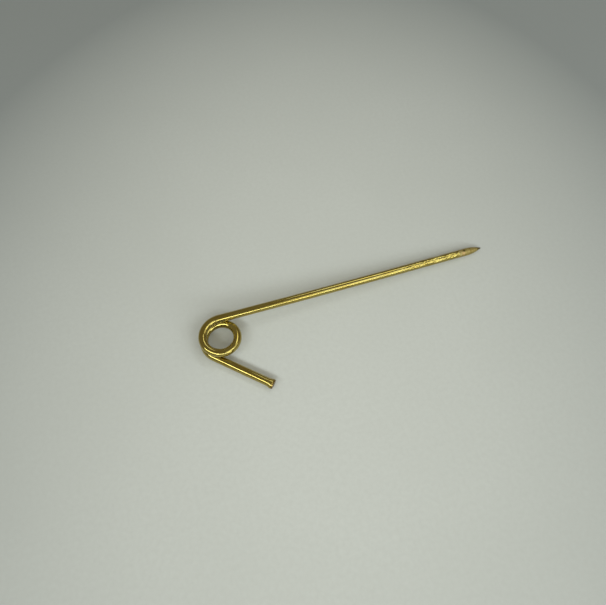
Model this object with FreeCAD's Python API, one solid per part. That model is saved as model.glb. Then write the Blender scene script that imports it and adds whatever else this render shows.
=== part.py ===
"""Coil-spring pin, bent from one length of round brass wire.

A long straight stem with a ground point runs into a small torsion coil, and a short tail with a
nipped end leaves the coil below it. The wire is cut here into its working sections, which meet
face to face. Millimetres, +Z up. The coil's axis is Z, z = 0 is the surface the pin lies on, and
the stem points along +X.
"""
import FreeCAD, Part
import math
import os

from FreeCAD import Vector

# Wire
WIRE_R = 0.70                # radius of the drawn wire
# Coil, seen from above: the wire comes in from the stem and winds down anticlockwise
COIL_R = 2.87                # mean radius of the full turn
COIL_PITCH = 1.62            # drop for each turn
ARM_ANGLE = 44.0             # angle between stem and tail, seen from above
STEM_BEND_R = 3.60           # wider radius where the wire runs into the stem
STEM_BEND_TURN = 44.0        # how far that wider bend turns, in degrees
TAIL_BEND_R = 3.35           # wider radius where the wire runs out into the tail
TAIL_BEND_TURN = 61.0        # how far that bend turns
# Stem, measured from the end of its bend to the tip
STEM_LENGTH = 50.3
STEM_BOW_R = 2000.0          # a chosen slight bow, not a measured one: only the front is truly straight
FRONT_LENGTH = 14.0          # stretch behind the point, dressed with a file
POINT_LENGTH = 4.2           # ground point
POINT_R = WIRE_R             # the grinding starts at the wire's full thickness
POINT_NECK = 1.0             # straight part of the point before its ogive
TIP_R = 0.04                 # the very tip is not a knife edge
POINT_REST_Z = 0.71          # height of the stem's axis where the point's neck rests on the surface
# Tail, measured from the end of its bend
TAIL_LENGTH = 11.2
CUT_LENGTH = 1.2             # nipped end, spread and bevelled by the cutters
CUT_WIDE = 0.86              # half width across the spread
CUT_HIGH = 0.70              # half height of the spread
BURR_LENGTH = 0.25           # bevel of the cut face

SLOPE_STEPS = 8              # the slope and the bend's end settle within this many rounds
ALMOST_ROUND = 1.0001        # an ellipse needs one axis longer than the other
FACE_WIDE = 0.92             # the bevelled cut face, as a share of the spread
FACE_HIGH = 0.72

UP = Vector(0, 0, 1)


def turned(vector, axis, degrees):
    """The vector turned about an axis through the origin."""
    return FreeCAD.Rotation(axis, degrees).multVec(vector)


def arc_towards(start, heading, side, radius, degrees):
    """An arc that leaves start along heading and turns towards side; returns edge, end, heading."""
    centre = start + side * radius
    axis = heading.cross(side)
    middle = centre + turned(side * -radius, axis, degrees / 2)
    end = centre + turned(side * -radius, axis, degrees)
    edge = Part.Arc(start, middle, end).toShape()
    return edge, end, turned(heading, axis, degrees)


def bend_between(start, heading, target, radius):
    """The arc of one radius that turns heading into the target direction."""
    axis = heading.cross(target).normalize()
    side = axis.cross(heading)
    return arc_towards(start, heading, side, radius, math.degrees(heading.getAngle(target)))


def wire_along(edge, start, heading):
    """Round wire swept along one edge of its centre line."""
    profile = Part.Wire(Part.makeCircle(WIRE_R, start, heading))
    return Part.Wire(edge).makePipeShell([profile], True, True)


def coil_turn(first_angle, last_angle, top_z):
    """The part of the helix between two angles, winding down anticlockwise from top_z."""
    sweep = math.radians(last_angle - first_angle)
    drop = COIL_PITCH * sweep / (2 * math.pi)
    # A left-handed helix climbs clockwise, so drawn from its foot it winds down anticlockwise.
    helix = Part.makeHelix(COIL_PITCH, drop, COIL_R, 0, True)
    foot = FreeCAD.Placement(Vector(0, 0, top_z - drop), FreeCAD.Rotation(UP, last_angle))
    helix.Placement = foot
    edge = helix.Edges[0]
    return wire_along(edge, edge.valueAt(edge.FirstParameter), edge.tangentAt(edge.FirstParameter))


def coil_point(angle, z):
    """A point of the coil's centre line."""
    turn = math.radians(angle)
    return Vector(COIL_R * math.cos(turn), COIL_R * math.sin(turn), z)


def coil_heading(angle):
    """The direction of the coil's centre line at an angle, winding down."""
    turn = math.radians(angle)
    slope = COIL_PITCH / (2 * math.pi * COIL_R)
    return Vector(-math.sin(turn), math.cos(turn), -slope).normalize()


def ground_point(start, heading):
    """The ogive point, turned about the stem's axis."""
    ogive_length = POINT_LENGTH - POINT_NECK
    drop = POINT_R - TIP_R
    ogive_r = (ogive_length**2 + drop**2) / (2 * drop)
    middle_x = ogive_length / 2
    middle_r = POINT_R - ogive_r + math.sqrt(ogive_r**2 - middle_x**2)
    neck = Vector(POINT_NECK, POINT_R, 0)
    middle = Vector(POINT_NECK + middle_x, middle_r, 0)
    tip = Vector(POINT_LENGTH, TIP_R, 0)
    outline = [
        Part.makeLine(Vector(0, 0, 0), Vector(0, POINT_R, 0)),
        Part.makeLine(Vector(0, POINT_R, 0), neck),
        Part.Arc(neck, middle, tip).toShape(),
        Part.makeLine(tip, Vector(POINT_LENGTH, 0, 0)),
        Part.makeLine(Vector(POINT_LENGTH, 0, 0), Vector(0, 0, 0)),
    ]
    profile = Part.Face(Part.Wire(outline))
    point = profile.revolve(Vector(0, 0, 0), Vector(1, 0, 0), 360)
    point.Placement = FreeCAD.Placement(start, FreeCAD.Rotation(Vector(1, 0, 0), heading))
    return point


def ellipse_wire(centre, heading, wide, high):
    """An upright ellipse square to a level heading."""
    across = UP.cross(heading).normalize()
    curve = Part.Ellipse(centre + across * wide, centre + UP * high, centre)
    return Part.Wire(curve.toShape())


def cut_end(start, heading):
    """The nipped end: round wire spread sideways by the cutters, with a bevelled cut face."""
    spread_at = start + heading * (CUT_LENGTH - BURR_LENGTH)
    face_at = start + heading * CUT_LENGTH
    sections = [
        ellipse_wire(start, heading, WIRE_R * ALMOST_ROUND, WIRE_R),
        ellipse_wire(spread_at, heading, CUT_WIDE, CUT_HIGH),
    ]
    flare = Part.makeLoft(sections, True, True)
    rim = [
        ellipse_wire(spread_at, heading, CUT_WIDE, CUT_HIGH),
        ellipse_wire(face_at, heading, CUT_WIDE * FACE_WIDE, CUT_HIGH * FACE_HIGH),
    ]
    return flare.fuse(Part.makeLoft(rim, True, True)).removeSplitter()


def save(shape, node):
    """Write one section, which has to be one closed solid."""
    solid = Part.makeSolid(shape.Shells[0])
    if not solid.isValid() or len(solid.Solids) != 1:
        raise ValueError(node + " is not one valid solid")
    solid.exportStep("parts/" + node + ".step")
    print(node, round(solid.Volume, 3), "mm3")


def sections():
    """Work out the centre line from the tail up to the tip, and make each section on it."""
    # Angles of the centre line about Z, growing as the wire winds down
    stem_leaves_at = 90.0
    tail_heads = -ARM_ANGLE
    tail_leaves_at = 360.0 + 360.0 + tail_heads - 90.0
    first_angle = stem_leaves_at + STEM_BEND_TURN
    last_angle = tail_leaves_at - TAIL_BEND_TURN
    half_way = (first_angle + last_angle) / 2
    drop_rate = COIL_PITCH / 360.0

    # The tail lies flat, so its bend levels out at the wire's own radius.
    level = Vector(math.cos(math.radians(tail_heads)), math.sin(math.radians(tail_heads)), 0)
    last = coil_point(last_angle, 0)
    bend, tail_start, _ = bend_between(last, coil_heading(last_angle), level, TAIL_BEND_R)
    foot_z = WIRE_R - tail_start.z
    last.z = foot_z
    bend, tail_start, _ = bend_between(last, coil_heading(last_angle), level, TAIL_BEND_R)
    cut_start = tail_start + level * (TAIL_LENGTH - CUT_LENGTH)

    top_z = foot_z + drop_rate * (last_angle - first_angle)
    half_z = foot_z + drop_rate * (last_angle - half_way)
    top = coil_point(first_angle, top_z)
    outward = coil_heading(first_angle) * -1
    # The stem slopes down until the neck of its point just reaches the surface.
    run = STEM_LENGTH - POINT_LENGTH
    shank_length = run - FRONT_LENGTH
    bow_turn = shank_length / STEM_BOW_R
    # The bowed stem sets out aside by as much as brings its tip back in line with its root.
    bow_lead = bow_turn * (STEM_LENGTH - shank_length / 2) / STEM_LENGTH
    slope = 0.0
    for _ in range(SLOPE_STEPS):
        level_part = math.cos(slope)
        aside = -level_part * math.sin(bow_lead)
        along = Vector(level_part * math.cos(bow_lead), aside, -math.sin(slope))
        stem_bend, stem_start, _ = bend_between(top, outward, along, STEM_BEND_R)
        slope = math.asin((stem_start.z - POINT_REST_Z) / (run + POINT_NECK))
    left = UP.cross(along).normalize()
    bow_degrees = math.degrees(bow_turn)
    shank, front_start, front_heading = arc_towards(stem_start, along, left, STEM_BOW_R, bow_degrees)
    point_start = front_start + front_heading * FRONT_LENGTH
    print("front", *front_start, "heading", *front_heading)

    return {
        "stem_point": ground_point(point_start, front_heading),
        "stem_front": Part.makeCylinder(WIRE_R, FRONT_LENGTH, front_start, front_heading),
        "stem_shank": wire_along(shank, stem_start, along),
        "stem_bend": wire_along(stem_bend, top, outward),
        "coil_upper_turn": coil_turn(first_angle, half_way, top_z),
        "coil_lower_turn": coil_turn(half_way, last_angle, half_z),
        "tail_bend": wire_along(bend, last, coil_heading(last_angle)),
        "tail_shank": Part.makeCylinder(WIRE_R, TAIL_LENGTH - CUT_LENGTH, tail_start, level),
        "tail_cut_end": cut_end(cut_start, level),
    }


os.makedirs("parts", exist_ok=True)
for name, shape in sections().items():
    save(shape, name)
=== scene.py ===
"""Looks of the coil-spring pin: one length of round brass wire, drawn, bent, ground and nipped.

The wire's centre line is worked out from the part's own driving dimensions, in millimetres, and
followed from the tail's nipped end, through the coil, to the tip. Meshes are in metres.
"""
import math

import bpy
from mathutils import Matrix, Vector, noise


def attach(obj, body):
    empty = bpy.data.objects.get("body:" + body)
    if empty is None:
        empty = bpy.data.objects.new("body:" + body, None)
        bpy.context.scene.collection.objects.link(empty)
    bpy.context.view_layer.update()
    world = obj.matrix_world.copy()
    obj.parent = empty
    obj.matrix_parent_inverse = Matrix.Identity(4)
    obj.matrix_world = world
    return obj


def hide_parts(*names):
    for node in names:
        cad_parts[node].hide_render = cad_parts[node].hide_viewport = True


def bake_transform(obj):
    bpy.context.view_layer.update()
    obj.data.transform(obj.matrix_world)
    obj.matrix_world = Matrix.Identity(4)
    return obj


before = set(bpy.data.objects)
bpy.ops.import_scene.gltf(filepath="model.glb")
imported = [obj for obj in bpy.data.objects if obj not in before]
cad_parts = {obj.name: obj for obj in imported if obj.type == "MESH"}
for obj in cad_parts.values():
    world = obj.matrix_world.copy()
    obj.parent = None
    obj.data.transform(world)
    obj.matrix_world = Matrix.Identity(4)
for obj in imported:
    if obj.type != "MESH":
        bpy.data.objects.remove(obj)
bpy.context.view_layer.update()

MM = 0.001
UP = Vector((0, 0, 1))

# The part's driving dimensions, in millimetres and degrees
WIRE_R = 0.70
COIL_R = 2.87
COIL_PITCH = 1.62
ARM_ANGLE = 44.0
STEM_BEND_R = 3.60
STEM_BEND_TURN = 44.0
TAIL_BEND_R = 3.35
TAIL_BEND_TURN = 61.0
STEM_LENGTH = 50.3
STEM_BOW_R = 2000.0         # a chosen slight bow of the shank, not a measured one
FRONT_LENGTH = 14.0
POINT_LENGTH = 4.2
POINT_NECK = 1.0
POINT_REST_Z = 0.71
TIP_R = 0.04
TAIL_LENGTH = 11.2
CUT_LENGTH = 1.2
CUT_WIDE = 0.86
CUT_HIGH = 0.70
BURR_LENGTH = 0.25
FACE_WIDE = 0.92
FACE_HIGH = 0.72

# Camera, and the directions that it sees as right and up on the floor
CAMERA_AT = Vector((1.98, -37.77, 80.38)) * MM
CAMERA_TURN = math.radians(18.53)   # the picture's right is turned this far from +X, towards -Y
CAMERA_TILT = math.radians(28.09)   # from looking straight down
CAMERA_ROLL = math.radians(0.06)
CAMERA_LENS = 30.36
CAMERA_SENSOR = 36.0

PICTURE_RIGHT = Vector((math.cos(CAMERA_TURN), -math.sin(CAMERA_TURN), 0))
PICTURE_NORTH = UP.cross(PICTURE_RIGHT)

# Meshes, lengths in mm
SIDES = 64                  # vertices round the wire
PLAIN_STEP = 0.12           # rings along plain wire, mm apart
FINE_STEP = 0.04            # rings along worked wire
COIL_ARCS = 12              # pieces that share out the coil's winding
CUT_RINGS = 8               # rings across the cut face
TIP_RINGS = 3               # rings over the blunt tip

# Surface relief, in mm
DRAW_LINE_DEPTH = 0.0035
WANDER = 0.012              # the wire isn't dead straight
CHATTER_DEPTH = 0.032       # ripples that the file left on the front
POINT_FLATS = 5             # flats that the grinder left on the point
FACET_DEPTH = 0.018
GRIND_STEP = 0.022          # small step where the grinding starts
TORN_DEPTH = 0.035          # roughness of the cut face
CUT_RIDGE = 0.16            # the two jaws leave a low ridge between them
PIT_BEYOND = 0.50           # a pit in the point's upper side, beyond where the point starts
PIT_TURN = math.radians(93)
PIT_R = 0.22
PIT_DEPTH = 0.08

# Spots of colour, in mm
PIT_DARK_R = 0.32
COPPER_BEYOND = 0.25        # a coppery spot beside the pit
COPPER_TURN = math.radians(48)
COPPER_R = 0.45
DULL_LEAD = 0.75            # the wire turns dull this far before the point
DULL_RUN = 0.25             # and is fully dull after this
TORN_DARK_TO = 0.08         # dark from the cut face to here along the wire
TORN_CLEAR_FROM = 0.34      # and no longer dark from here
TIP_DIRT_FROM = 1.2         # dirt begins this far before the tip
TIP_DIRT_FULL = 0.3         # and is thickest from here

# Finish of the brass: its roughness, the height of its lines in mm, and the noise level that
# tarnish starts from, so that a lower one means more tarnish
DRAWN_FINISH = (0.10, 0.002, 0.66)
DRESSED_FINISH = (0.13, 0.006, 0.62)
NIPPED_FINISH = (0.20, 0.006, 0.60)
DULL_ROUGHER = 0.40         # how much rougher the dull end is
COAT_WEIGHT = 0.45
COAT_ROUGHNESS = 0.08
MARK_HEIGHT = 0.05          # grinding marks, mm

# Colours
BRASS = (0.42, 0.34, 0.08)
BRASS_DEEP = (0.37, 0.27, 0.045)
BRASS_PALE = (0.54, 0.48, 0.18)
TARNISH = (0.20, 0.12, 0.025)
GROUND = (0.50, 0.41, 0.15)
GROUND_DEEP = (0.42, 0.33, 0.11)
COPPER = (0.60, 0.41, 0.19)
DIRT = (0.06, 0.045, 0.02)
PAPER = (0.665, 0.685, 0.625)
PAPER_PALE = (0.705, 0.725, 0.665)
PAPER_DEEP = (0.635, 0.65, 0.59)
# the paper's colour where the painted falloff of light is deepest
PAPER_PAINTED_FALLOFF = (0.30, 0.32, 0.305)
LIGHT_COLOUR = (0.93, 1.0, 1.05)
ROOM_COLOUR = (1.0, 0.90, 0.70)

# The sheet of paper, in metres; the centre and reach of the pool of light painted on it are as seen in
# the picture
PAPER_HALF = 0.6
PAINTED_LIGHT_CENTRE_X = 0.015
PAINTED_LIGHT_CENTRE_Y = -0.008
PAINTED_LIGHT_REACH_X = 0.095
PAINTED_LIGHT_REACH_Y = 0.140
PAPER_TOOTH = 0.02          # mm

LIGHT_DISTANCE = 0.6        # m
ROOM_STRENGTH = 0.25


# Centre line ------------------------------------------------------------------------------

def on_arc(start, heading, side, radius, run):
    """Point and heading after a run along an arc that turns towards side."""
    turn = run / radius
    point = start + heading * (radius * math.sin(turn)) + side * (radius * (1 - math.cos(turn)))
    return point, heading * math.cos(turn) + side * math.sin(turn)


def bend_between(heading, target, radius):
    """Length, sideways direction and reach of the arc that turns heading into target."""
    side = heading.cross(target).normalized().cross(heading)
    length = radius * heading.angle(target)
    reach, _ = on_arc(Vector(), heading, side, radius, length)
    return length, side, reach


class CentreLine:
    """The wire's centre line, as spans in order from the nipped end to the tip."""

    def __init__(self):
        arm = math.radians(ARM_ANGLE)
        self.foot_angle = 720.0 - ARM_ANGLE - 90.0 - TAIL_BEND_TURN
        self.top_angle = 90.0 + STEM_BEND_TURN
        sweep = math.radians(self.foot_angle - self.top_angle)
        self.rise = COIL_PITCH / (2 * math.pi)
        self.coil_length = sweep * math.hypot(COIL_R, self.rise)

        self.tail_heading = Vector((-math.cos(arm), math.sin(arm), 0))
        climb = self.coil_direction(self.foot_angle)
        bend_length, bend_side, reach = bend_between(self.tail_heading, climb, TAIL_BEND_R)
        self.foot_z = WIRE_R + reach.z
        bend_start = self.coil_point(0.0) - reach
        tail_start = bend_start - self.tail_heading * TAIL_LENGTH

        top = self.coil_point(self.coil_length)
        leaving = self.coil_direction(self.top_angle)
        shank_length = STEM_LENGTH - POINT_LENGTH - FRONT_LENGTH
        bow_turn = shank_length / STEM_BOW_R
        bow_lead = bow_turn * (STEM_LENGTH - shank_length / 2) / STEM_LENGTH
        slope = 0.0
        for _ in range(8):
            level = math.cos(slope)
            along = Vector((level * math.cos(bow_lead), -level * math.sin(bow_lead), -math.sin(slope)))
            stem_bend_length, stem_side, stem_reach = bend_between(leaving, along, STEM_BEND_R)
            drop = top.z + stem_reach.z - POINT_REST_Z
            slope = math.asin(drop / (STEM_LENGTH - POINT_LENGTH + POINT_NECK))
        shank_start = top + stem_reach
        left = UP.cross(along).normalized()
        front_start, front_heading = on_arc(shank_start, along, left, STEM_BOW_R, shank_length)

        straight = 1e6
        across = self.tail_heading.cross(UP)
        front_side = front_heading.cross(UP).normalized()
        self.spans = [
            ("tail", TAIL_LENGTH, (tail_start, self.tail_heading, across, straight)),
            ("tail_bend", bend_length, (bend_start, self.tail_heading, bend_side, TAIL_BEND_R)),
            ("coil", self.coil_length, None),
            ("stem_bend", stem_bend_length, (top, leaving, stem_side, STEM_BEND_R)),
            ("shank", shank_length, (shank_start, along, left, STEM_BOW_R)),
            ("front", STEM_LENGTH - shank_length, (front_start, front_heading, front_side, straight)),
        ]
        self.starts = {}
        distance = 0.0
        for name, length, _ in self.spans:
            self.starts[name] = distance
            distance += length
        self.length = distance

    def coil_direction(self, angle):
        """Heading up the coil, which is clockwise seen from above, at an angle in degrees."""
        turn = math.radians(angle)
        return Vector((math.sin(turn), -math.cos(turn), self.rise / COIL_R)).normalized()

    def coil_point(self, run):
        """Point of the coil after a run from its foot."""
        wound = run / math.hypot(COIL_R, self.rise)
        turn = math.radians(self.foot_angle) - wound
        height = self.foot_z + self.rise * wound
        return Vector((COIL_R * math.cos(turn), COIL_R * math.sin(turn), height))

    def at(self, distance):
        """Point and heading at a distance from the nipped end, in mm."""
        for name, length, arc in self.spans:
            run = distance - self.starts[name]
            if run <= length or name == self.spans[-1][0]:
                break
        if arc is None:
            wound = run / math.hypot(COIL_R, self.rise)
            return self.coil_point(run), self.coil_direction(self.foot_angle - math.degrees(wound))
        start, heading, side, radius = arc
        return on_arc(start, heading, side, radius, run)


LINE = CentreLine()
COIL_START = LINE.starts["coil"]
COIL_END = LINE.starts["stem_bend"]
TIP_AT = LINE.length
POINT_AT = TIP_AT - POINT_LENGTH
FRONT_AT = POINT_AT - FRONT_LENGTH


def place_on_point(beyond, turn):
    """A place on the point in the wire's own terms: distance along the wire, across and above."""
    return POINT_AT + beyond, WIRE_R * math.cos(turn), WIRE_R * math.sin(turn)


PIT_PLACE = place_on_point(PIT_BEYOND, PIT_TURN)
COPPER_PLACE = place_on_point(COPPER_BEYOND, COPPER_TURN)


# Section of the wire ----------------------------------------------------------------------

def fade(value, start, end):
    """0 at start, 1 at end, smooth between."""
    share = min(max((value - start) / (end - start), 0.0), 1.0)
    return share * share * (3 - 2 * share)


def wobble(seed, *place):
    """Smooth noise about 0 at a place, another one for each seed."""
    x, y, z = place
    return noise.noise(Vector((x + 17.3 * seed, y - 9.1 * seed, z + 5.7 * seed)))


def chatter(distance, turn):
    """File ripples across the front of the stem, growing in over its first few millimetres."""
    share = fade(distance, FRONT_AT - 1.5, FRONT_AT + 6.0)
    if share == 0:
        return 0.0
    round_x = 1.3 * math.cos(turn)
    round_y = 1.3 * math.sin(turn)
    coarse = wobble(3, distance * 1.1, round_x, round_y)    # about 1 mm long, and the fine a third
    fine = wobble(4, distance * 2.9, 1.9 * round_x, 1.9 * round_y)
    return CHATTER_DEPTH * share * (coarse + 0.7 * fine)


def point_radius(beyond):
    """Radius of the ground point, by distance from where it starts: a small step, a neck, an ogive."""
    ogive_length = POINT_LENGTH - POINT_NECK
    drop = WIRE_R - TIP_R
    ogive_r = (ogive_length**2 + drop**2) / (2 * drop)
    along = max(beyond - POINT_NECK, 0.0)
    return WIRE_R - ogive_r + math.sqrt(ogive_r**2 - along**2) - GRIND_STEP * fade(beyond, 0.0, 0.12)


def facets(beyond, turn):
    """Grinding flats and crosswise marks on the point."""
    share = fade(beyond, 0.0, 0.3) * (1 - fade(beyond, 3.4, POINT_LENGTH))
    flats = math.cos(POINT_FLATS * turn + 0.8) * 0.5
    flats += wobble(5, beyond * 0.8, 2 * math.cos(turn), 2 * math.sin(turn))
    marks = wobble(6, beyond * 9.0, 0.8 * math.cos(turn), 0.8 * math.sin(turn))
    return share * FACET_DEPTH * (0.6 * flats + 0.45 * marks)


def pit(beyond, turn):
    """Depth of the pit."""
    away = math.hypot(beyond - PIT_BEYOND, WIRE_R * (turn - PIT_TURN))
    return PIT_DEPTH * (1 - fade(away, 0.0, PIT_R))


def section(distance, turn):
    """Half width and half height of the wire, in mm, with the relief found in one direction round it."""
    across = 2.2 * math.cos(turn)
    above = 2.2 * math.sin(turn)
    lines = wobble(1, distance * 0.06, 3.2 * across, 3.2 * above)
    waves = wobble(2, distance * 0.45, 0.4 * across, 0.4 * above)
    relief = DRAW_LINE_DEPTH * lines + 0.5 * DRAW_LINE_DEPTH * waves + chatter(distance, turn)
    if distance > POINT_AT:
        beyond = distance - POINT_AT
        calm = 1 - fade(beyond, 0.0, 0.3)
        radius = point_radius(beyond) + calm * relief + facets(beyond, turn) - pit(beyond, turn)
        radius = max(radius, TIP_R * 0.6)
        return radius, radius
    wide = WIRE_R
    high = WIRE_R
    if distance < CUT_LENGTH:
        spread = fade(CUT_LENGTH - distance, 0.0, CUT_LENGTH - BURR_LENGTH)
        wide += spread * (CUT_WIDE - WIRE_R)
        high += spread * (CUT_HIGH - WIRE_R)
        bevel = 1 - min(distance / BURR_LENGTH, 1.0)
        wide *= 1 - bevel * (1 - FACE_WIDE)
        high *= 1 - bevel * (1 - FACE_HIGH)
        relief += 0.5 * TORN_DEPTH * spread * wobble(7, distance * 2.0, across, above)
    return wide + relief, high + relief


def drift(distance):
    """How far the wire wanders sideways, in mm; the coil keeps true."""
    free = fade(distance, COIL_END, COIL_END + 10.0) + 1 - fade(distance, COIL_START - 8.0, COIL_START)
    return WANDER * free * wobble(8, distance * 0.11, 0.0, 0.0)


# Meshes -----------------------------------------------------------------------------------

def ring_points(distance, shrink=1.0, push=0.0):
    """Points round the wire in metres, and the same points in the wire's own terms in mm.

    Shrink draws the ring in. Push moves it along the wire: one number, or a function of the place.
    """
    centre, heading = LINE.at(distance)
    side = heading.cross(UP).normalized()
    above = side.cross(heading)
    centre = centre + side * drift(distance)
    points = []
    places = []
    for k in range(SIDES):
        turn = 2 * math.pi * k / SIDES
        wide, high = section(distance, turn)
        out = shrink * wide * math.cos(turn)
        lift = shrink * high * math.sin(turn)
        along = push(out, lift) if callable(push) else push
        points.append((centre + side * out + above * lift + heading * along) * MM)
        places.append((distance + along, out, lift))
    return points, places


def mark_cap_edges(mesh, last):
    """Marks each end face's rim sharp, so that the face doesn't tilt the wire's shading there."""
    sharp = mesh.attributes.new("sharp_edge", "BOOLEAN", "EDGE")
    for edge in mesh.edges:
        low, high = sorted(edge.vertices)
        sharp.data[edge.index].value = high < SIDES or low >= last


def closed_skin(name, rings):
    """A closed mesh through rings of points, with a flat face over each end ring."""
    points = [p for ring, _ in rings for p in ring]
    places = [q for _, ring in rings for q in ring]
    faces = []
    for i in range(len(rings) - 1):
        for k in range(SIDES):
            following = (k + 1) % SIDES
            faces.append((i * SIDES + k, i * SIDES + following,
                          (i + 1) * SIDES + following, (i + 1) * SIDES + k))
    last = (len(rings) - 1) * SIDES
    first_cap = tuple(range(SIDES))
    last_cap = tuple(last + k for k in reversed(range(SIDES)))
    faces += [first_cap, last_cap]
    mesh = bpy.data.meshes.new(name)
    mesh.from_pydata(points, [], faces)
    mesh.polygons.foreach_set("use_smooth", [True] * (len(faces) - 2) + [False, False])
    place = mesh.attributes.new("wire_mm", "FLOAT_VECTOR", "POINT")
    place.data.foreach_set("vector", [value for q in places for value in q])
    mesh.flip_normals()
    mesh.update()
    mark_cap_edges(mesh, last)
    piece = bpy.data.objects.new(name, mesh)
    bpy.context.scene.collection.objects.link(piece)
    return piece


def distances(start, end, step):
    """Evenly spaced distances from start to end, no further apart than step."""
    count = max(1, math.ceil((end - start) / step))
    return [start + (end - start) * i / count for i in range(count + 1)]


def plain_wire(name, start, end, step=PLAIN_STEP):
    """Wire between two distances, with flat ends that its neighbours meet."""
    return closed_skin(name, [ring_points(d) for d in distances(start, end, step)])


def jaw_marks(out, lift):
    """How far the cut face stands out: a ridge between two bevels, with a torn surface."""
    ridge = CUT_RIDGE * max(0.0, 1 - abs(lift) / (CUT_HIGH * FACE_HIGH))
    torn = TORN_DEPTH * wobble(9, out * 4.0, lift * 4.0, 0.0)
    return -0.5 * ridge - torn


def cut_end():
    """The nipped end: spread sides, a bevelled rim and the torn face between the jaws."""
    face = []
    for i in range(CUT_RINGS, 0, -1):
        share = 1 - i / (CUT_RINGS + 1)
        face.append(ring_points(0.0, share, lambda out, lift, s=share: (1 - s) * jaw_marks(out, lift)))
    rings = [ring_points(d) for d in distances(0.0, CUT_LENGTH, FINE_STEP)]
    return closed_skin("tail_cut_end_brass", face + rings)


def stem_point():
    """The ground point, closed by a small blunt tip."""
    rings = [ring_points(d) for d in distances(POINT_AT, TIP_AT, FINE_STEP)]
    for i in range(1, TIP_RINGS + 1):
        share = 1 - i / (TIP_RINGS + 1)
        rings.append(ring_points(TIP_AT, share, TIP_R * 0.5 * (1 - share)))
    return closed_skin("stem_point_brass", rings)


def wind(piece):
    """Bakes the piece's placement into its mesh."""
    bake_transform(piece)


# Materials --------------------------------------------------------------------------------

class Nodes:
    """Short calls that add and join the nodes of one material."""

    def __init__(self, name):
        self.material = bpy.data.materials.new(name)
        self.material.use_nodes = True
        self.tree = self.material.node_tree
        self.shader = self.tree.nodes["Principled BSDF"]

    def add(self, kind, **settings):
        node = self.tree.nodes.new(kind)
        for key, value in settings.items():
            setattr(node, key, value)
        return node

    def join(self, output, target):
        self.tree.links.new(output, target)

    def stretched(self, source, scale):
        """Coordinates stretched by a scale along and round the wire."""
        node = self.add("ShaderNodeMapping")
        node.inputs["Scale"].default_value = scale
        self.join(source, node.inputs["Vector"])
        return node.outputs["Vector"]

    def speckle(self, vector, detail=4.0, roughness=0.55):
        """Noise at a place, about 0.5."""
        node = self.add("ShaderNodeTexNoise")
        node.inputs["Scale"].default_value = 1.0
        node.inputs["Detail"].default_value = detail
        node.inputs["Roughness"].default_value = roughness
        self.join(vector, node.inputs["Vector"])
        return node.outputs["Fac"]

    def ranged(self, value, low, high, to_low, to_high):
        """A value moved from one range to another, and held inside it."""
        node = self.add("ShaderNodeMapRange", clamp=True)
        limits = {"From Min": low, "From Max": high, "To Min": to_low, "To Max": to_high}
        for slot, number in limits.items():
            node.inputs[slot].default_value = number
        self.join(value, node.inputs["Value"])
        return node.outputs["Result"]

    def along(self, place):
        """Distance along the wire, from a place in the wire's own terms."""
        node = self.add("ShaderNodeSeparateXYZ")
        self.join(place, node.inputs[0])
        return node.outputs["X"]

    def spot(self, place, centre, radius):
        """1 at a place in the wire's own terms, fading to 0 at a radius from it."""
        away = self.add("ShaderNodeVectorMath", operation="DISTANCE")
        self.join(place, away.inputs[0])
        away.inputs[1].default_value = centre
        return self.ranged(away.outputs["Value"], 0.3 * radius, radius, 0.9, 0.0)

    def worked(self, operation, first, second):
        """Two values put through one operation; either may be a plain number."""
        node = self.add("ShaderNodeMath", operation=operation)
        for slot, value in ((0, first), (1, second)):
            if isinstance(value, float):
                node.inputs[slot].default_value = value
            else:
                self.join(value, node.inputs[slot])
        return node.outputs[0]

    def mixed(self, factor, first, second):
        """A colour between two, by a factor; either may be a plain colour."""
        node = self.add("ShaderNodeMix", data_type="RGBA")
        self.join(factor, node.inputs["Factor"])
        for slot, value in (("A", first), ("B", second)):
            socket = next(i for i in node.inputs if i.name == slot and i.type == "RGBA")
            if isinstance(value, tuple):
                socket.default_value = (*value, 1.0)
            else:
                self.join(value, socket)
        return next(o for o in node.outputs if o.type == "RGBA")

    def bumped(self, height, distance):
        """Gives the surface a relief, from a height between 0 and 1 and its size in metres."""
        node = self.add("ShaderNodeBump")
        node.inputs["Strength"].default_value = 1.0
        node.inputs["Distance"].default_value = distance
        self.join(height, node.inputs["Height"])
        self.join(node.outputs["Normal"], self.shader.inputs["Normal"])


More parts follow.
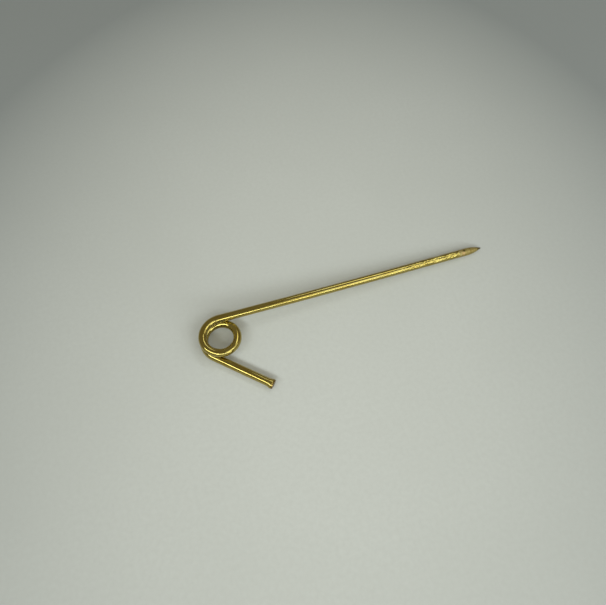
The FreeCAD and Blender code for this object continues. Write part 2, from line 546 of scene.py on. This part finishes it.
def brass(name, gloss, grain, tarnish_from, dull_from=TIP_AT):
    """Drawn brass: fine lengthwise lines, uneven gloss, some tarnish, a dark cut face and a dull end."""
    n = Nodes(name)
    place = n.add("ShaderNodeAttribute", attribute_name="wire_mm").outputs["Vector"]
    lines = n.speckle(n.stretched(place, (0.10, 9.0, 9.0)), 5.0, 0.6)
    fine_lines = n.speckle(n.stretched(place, (0.5, 26.0, 26.0)), 3.0)
    patches = n.speckle(n.stretched(place, (0.35, 1.1, 1.1)), 4.0)
    spots = n.speckle(n.stretched(place, (2.4, 3.6, 3.6)), 6.0, 0.7)

    colour = n.mixed(n.ranged(patches, 0.35, 0.65, 0.0, 1.0), BRASS, BRASS_DEEP)
    colour = n.mixed(n.ranged(lines, 0.5, 0.75, 0.0, 0.6), colour, BRASS_PALE)
    colour = n.mixed(n.ranged(spots, tarnish_from, tarnish_from + 0.16, 0.0, 0.85), colour, TARNISH)
    torn = n.ranged(n.along(place), TORN_DARK_TO, TORN_CLEAR_FROM, 1.0, 0.0)
    colour = n.mixed(torn, colour, TARNISH)
    dull = n.ranged(n.along(place), dull_from, dull_from + DULL_RUN, 0.0, 1.0)
    colour = n.mixed(dull, colour, GROUND_DEEP)
    n.join(colour, n.shader.inputs["Base Color"])

    rough = n.ranged(lines, 0.3, 0.7, gloss - 0.03, gloss + 0.05)
    rough = n.worked("ADD", rough, n.ranged(spots, 0.5, 0.75, 0.0, 0.10))
    rough = n.worked("ADD", rough, n.worked("MULTIPLY", dull, DULL_ROUGHER))
    n.join(rough, n.shader.inputs["Roughness"])
    n.shader.inputs["Metallic"].default_value = 1.0
    n.shader.inputs["Coat Weight"].default_value = COAT_WEIGHT
    n.shader.inputs["Coat Roughness"].default_value = COAT_ROUGHNESS

    height = n.worked("ADD", lines, n.worked("MULTIPLY", fine_lines, 0.35))
    n.bumped(height, grain * MM)
    return n.material


def ground_brass():
    """The ground point: dull, with marks across it and dirt towards the tip."""
    n = Nodes("ground_brass")
    place = n.add("ShaderNodeAttribute", attribute_name="wire_mm").outputs["Vector"]
    marks = n.speckle(n.stretched(place, (4.5, 0.9, 0.9)), 5.0, 0.65)
    blotches = n.speckle(n.stretched(place, (1.6, 1.6, 1.6)), 5.0, 0.6)
    colour = n.mixed(n.ranged(blotches, 0.38, 0.62, 0.0, 1.0), GROUND, GROUND_DEEP)
    colour = n.mixed(n.ranged(marks, 0.48, 0.68, 0.0, 0.9), colour, TARNISH)
    colour = n.mixed(n.spot(place, COPPER_PLACE, COPPER_R), colour, COPPER)
    # the colour is darkened round the pit
    colour = n.mixed(n.spot(place, PIT_PLACE, PIT_DARK_R), colour, DIRT)
    dirt = n.ranged(n.along(place), TIP_AT - TIP_DIRT_FROM, TIP_AT - TIP_DIRT_FULL, 0.0, 0.9)
    colour = n.mixed(dirt, colour, DIRT)
    n.join(colour, n.shader.inputs["Base Color"])
    n.join(n.ranged(marks, 0.3, 0.7, 0.48, 0.62), n.shader.inputs["Roughness"])
    n.shader.inputs["Metallic"].default_value = 1.0
    n.bumped(marks, MARK_HEIGHT * MM)
    return n.material


def paper():
    """Pale greenish-grey paper with a faint mottle and tooth, and a painted pool of light: its colour
    darkens away from one place, standing in for light falling off.
    """
    n = Nodes("paper")
    place = n.add("ShaderNodeTexCoord").outputs["Object"]
    clouds = n.speckle(n.stretched(place, (18.0, 18.0, 18.0)), 3.0)
    tooth = n.speckle(n.stretched(place, (1400.0, 1400.0, 1400.0)), 3.0)
    colour = n.mixed(n.ranged(clouds, 0.35, 0.65, 0.0, 1.0), PAPER, PAPER_PALE)
    colour = n.mixed(n.ranged(tooth, 0.3, 0.7, 0.0, 0.5), colour, PAPER_DEEP)
    turned = n.add("ShaderNodeMapping")
    turned.inputs["Rotation"].default_value = (0.0, 0.0, CAMERA_TURN)
    turned.inputs["Location"].default_value = (-PAINTED_LIGHT_CENTRE_X, -PAINTED_LIGHT_CENTRE_Y, 0.0)
    n.join(place, turned.inputs["Vector"])
    reach = (1 / PAINTED_LIGHT_REACH_X, 1 / PAINTED_LIGHT_REACH_Y, 0.0)
    away = n.add("ShaderNodeVectorMath", operation="LENGTH")
    n.join(n.stretched(turned.outputs["Vector"], reach), away.inputs[0])
    away = away.outputs["Value"]
    # painted light: the paper is painted darker away from the centre of the pool, standing in for light
    # falling off on it
    painted_falloff = n.ranged(n.worked("MULTIPLY", away, away), 0.0, 0.75, 0.0, 1.0)
    colour = n.mixed(painted_falloff, colour, PAPER_PAINTED_FALLOFF)
    n.join(colour, n.shader.inputs["Base Color"])
    n.shader.inputs["Roughness"].default_value = 0.85
    n.shader.inputs["Specular IOR Level"].default_value = 0.2
    n.bumped(tooth, PAPER_TOOTH * MM)
    return n.material


# Pieces -----------------------------------------------------------------------------------

def finish_piece(piece, material, slot, body, *nodes):
    """Gives a piece its material and the body it rides on, and hides the CAD nodes it stands for; the
    slot argument is not used.
    """
    piece.data.materials.append(material)
    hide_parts(*nodes)
    if body:
        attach(piece, body)


def build_pin():
    """All the pieces of the wire, from the nipped end to the tip."""
    drawn = brass("drawn_brass", *DRAWN_FINISH)
    dressed = brass("dressed_brass", *DRESSED_FINISH, POINT_AT - DULL_LEAD)
    nipped = brass("nipped_brass", *NIPPED_FINISH)
    tail_wire = plain_wire("tail_wire_brass", CUT_LENGTH, COIL_START)
    finish_piece(tail_wire, drawn, "drawn_brass", "tail", "tail_shank", "tail_bend")
    finish_piece(cut_end(), nipped, "nipped_brass", "tail", "tail_cut_end")
    arc_length = (COIL_END - COIL_START) / COIL_ARCS
    for i in range(COIL_ARCS):
        start = COIL_START + i * arc_length
        arc = plain_wire(f"coil_arc_{i + 1:02d}", start, start + arc_length)
        node = "coil_lower_turn" if i < COIL_ARCS / 2 else "coil_upper_turn"
        finish_piece(arc, drawn, "drawn_brass", None, node)
        wind(arc)
    stem_wire = plain_wire("stem_wire_brass", COIL_END, FRONT_AT)
    finish_piece(stem_wire, drawn, "drawn_brass", "stem", "stem_bend", "stem_shank")
    front = plain_wire("stem_front_brass", FRONT_AT, POINT_AT, FINE_STEP)
    finish_piece(front, dressed, "dressed_brass", "stem", "stem_front")
    finish_piece(stem_point(), ground_brass(), "ground_brass", "stem", "stem_point")


# Setting ----------------------------------------------------------------------------------

def make_camera():
    """A still camera above and to the south of the pin."""
    data = bpy.data.cameras.new("camera")
    data.lens = CAMERA_LENS
    data.sensor_width = CAMERA_SENSOR
    data.clip_start = 0.002
    data.clip_end = 10.0
    camera = bpy.data.objects.new("camera", data)
    bpy.context.scene.collection.objects.link(camera)
    back = UP * math.cos(CAMERA_TILT) - PICTURE_NORTH * math.sin(CAMERA_TILT)
    top = back.cross(PICTURE_RIGHT)
    axes = Matrix((PICTURE_RIGHT, top, back)).transposed()
    rolled = axes @ Matrix.Rotation(CAMERA_ROLL, 3, "Z")
    camera.matrix_world = Matrix.Translation(CAMERA_AT) @ rolled.to_4x4()
    bpy.context.scene.camera = camera


def soft_box(name, lean, toward, wide, high, radiance, roll=0.0):
    """An area light that faces the coil, wide by high in metres.

    It leans from overhead by lean degrees, towards a bearing in degrees from the picture's north.
    """
    data = bpy.data.lights.new(name, "AREA")
    data.shape = "RECTANGLE"
    data.size = wide
    data.size_y = high
    data.energy = radiance * math.pi * wide * high
    data.color = LIGHT_COLOUR
    lamp = bpy.data.objects.new(name, data)
    bpy.context.scene.collection.objects.link(lamp)
    bearing = math.radians(toward)
    away = PICTURE_NORTH * math.cos(bearing) + PICTURE_RIGHT * math.sin(bearing)
    back = UP * math.cos(math.radians(lean)) + away * math.sin(math.radians(lean))
    long_side = UP.cross(away)
    turned = Matrix((long_side, back.cross(long_side), back)).transposed().to_4x4()
    turned = turned @ Matrix.Rotation(math.radians(roll), 4, "Z")
    lamp.matrix_world = Matrix.Translation(back * LIGHT_DISTANCE) @ turned


def make_lights():
    """Two bright strips in the south that the wire mirrors, two soft boxes and a north strip."""
    soft_box("south_east_strip", lean=60.0, toward=156.0, wide=0.72, high=0.065, radiance=8.8,
             roll=-20.0)
    soft_box("south_west_strip", lean=46.0, toward=212.0, wide=0.56, high=0.095, radiance=6.8)
    soft_box("fill_box", lean=45.0, toward=122.0, wide=0.30, high=0.27, radiance=1.9)
    soft_box("east_box", lean=52.0, toward=95.0, wide=0.30, high=0.30, radiance=1.1)
    soft_box("north_strip", lean=34.0, toward=36.0, wide=0.40, high=0.09, radiance=2.8)
    world = bpy.data.worlds.new("room")
    bpy.context.scene.world = world
    world.use_nodes = True
    background = world.node_tree.nodes["Background"]
    background.inputs["Color"].default_value = (*ROOM_COLOUR, 1.0)
    background.inputs["Strength"].default_value = ROOM_STRENGTH


def make_floor():
    """The sheet of paper that the pin lies on."""
    near = -PAPER_HALF
    far = PAPER_HALF
    corners = [(near, near, 0), (far, near, 0), (far, far, 0), (near, far, 0)]
    mesh = bpy.data.meshes.new("floor")
    mesh.from_pydata(corners, [], [(0, 1, 2, 3)])
    floor = bpy.data.objects.new("floor", mesh)
    bpy.context.scene.collection.objects.link(floor)
    mesh.materials.append(paper())


build_pin()
make_floor()
make_lights()
make_camera()
bpy.context.scene.view_settings.view_transform = "Standard"
